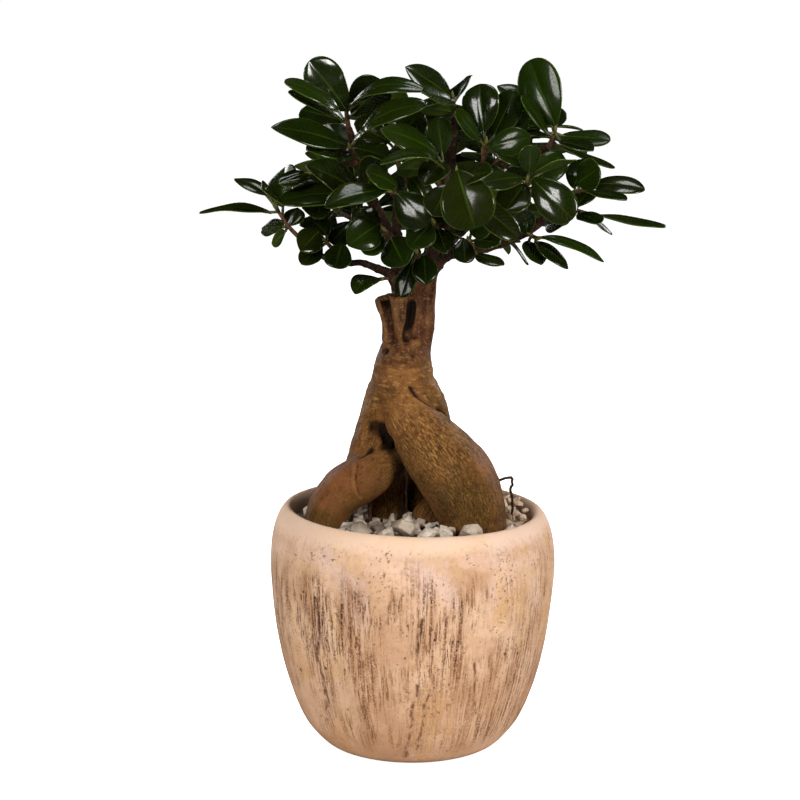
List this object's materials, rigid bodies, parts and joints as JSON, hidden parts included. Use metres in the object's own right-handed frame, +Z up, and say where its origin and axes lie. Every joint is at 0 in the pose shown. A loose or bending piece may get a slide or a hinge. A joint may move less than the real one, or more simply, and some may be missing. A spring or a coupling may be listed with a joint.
{
  "type": "potted bonsai tree",
  "caption": "Small fig bonsai with thick swollen roots and a rounded crown of glossy leaves, growing in a rounded clay pot topped with pale gravel.",
  "frame": {"origin": "centre of the pot's flat base", "axes": "+Z up along the pot's axis, +X to the right of the pictured front, -Y towards the viewer of the pictured front"},
  "size_m": [0.2493, 0.1839, 0.3816],
  "materials": {
    "clay": "matt weathered clay",
    "soil": "damp crumbly soil",
    "gravel": "rough",
    "stone": "rough broken faces",
    "bark": "satin bark",
    "foliage": "glossy leaf"
  },
  "bodies": {
    "root": {"gravel_bed": "gravel", "pot": "clay", "shoot_back_centre_low": "foliage", "shoot_back_far_low": "foliage", "shoot_back_left_end": "foliage", "shoot_back_left_low": "foliage", "shoot_back_left_top": "foliage", "shoot_back_middle": "foliage", "shoot_back_right_end": "foliage", "shoot_back_right_low": "foliage", "shoot_back_right_top": "foliage", "shoot_back_top_end": "foliage", "shoot_centre_front": "foliage", "shoot_centre_left": "foliage", "shoot_centre_low": "foliage", "shoot_centre_right": "foliage", "shoot_centre_upper": "foliage", "shoot_inner_centre": "foliage", "shoot_inner_left": "foliage", "shoot_inner_low": "foliage", "shoot_inner_right": "foliage", "shoot_inner_top": "foliage", "shoot_left_front": "foliage", "shoot_left_low": "foliage", "shoot_left_middle": "foliage", "shoot_left_tip": "foliage", "shoot_left_upper": "foliage", "shoot_low_centre": "foliage", "shoot_low_front": "foliage", "shoot_right_high": "foliage", "shoot_right_low": "foliage", "shoot_right_tip": "foliage", "shoot_right_under": "foliage", "shoot_stub_leaf": "foliage", "shoot_top_centre": "foliage", "shoot_top_left": "foliage", "shoot_top_right": "foliage", "shoot_upper_left": "foliage", "soil": "soil", "stone_1": "stone", "stone_10": "stone", "stone_11": "stone", "stone_12": "stone", "stone_13": "stone", "stone_2": "stone", "stone_3": "stone", "stone_4": "stone", "stone_5": "stone", "stone_6": "stone", "stone_7": "stone", "stone_8": "stone", "stone_9": "stone", "trunk": "bark"}
  },
  "joints": []
}
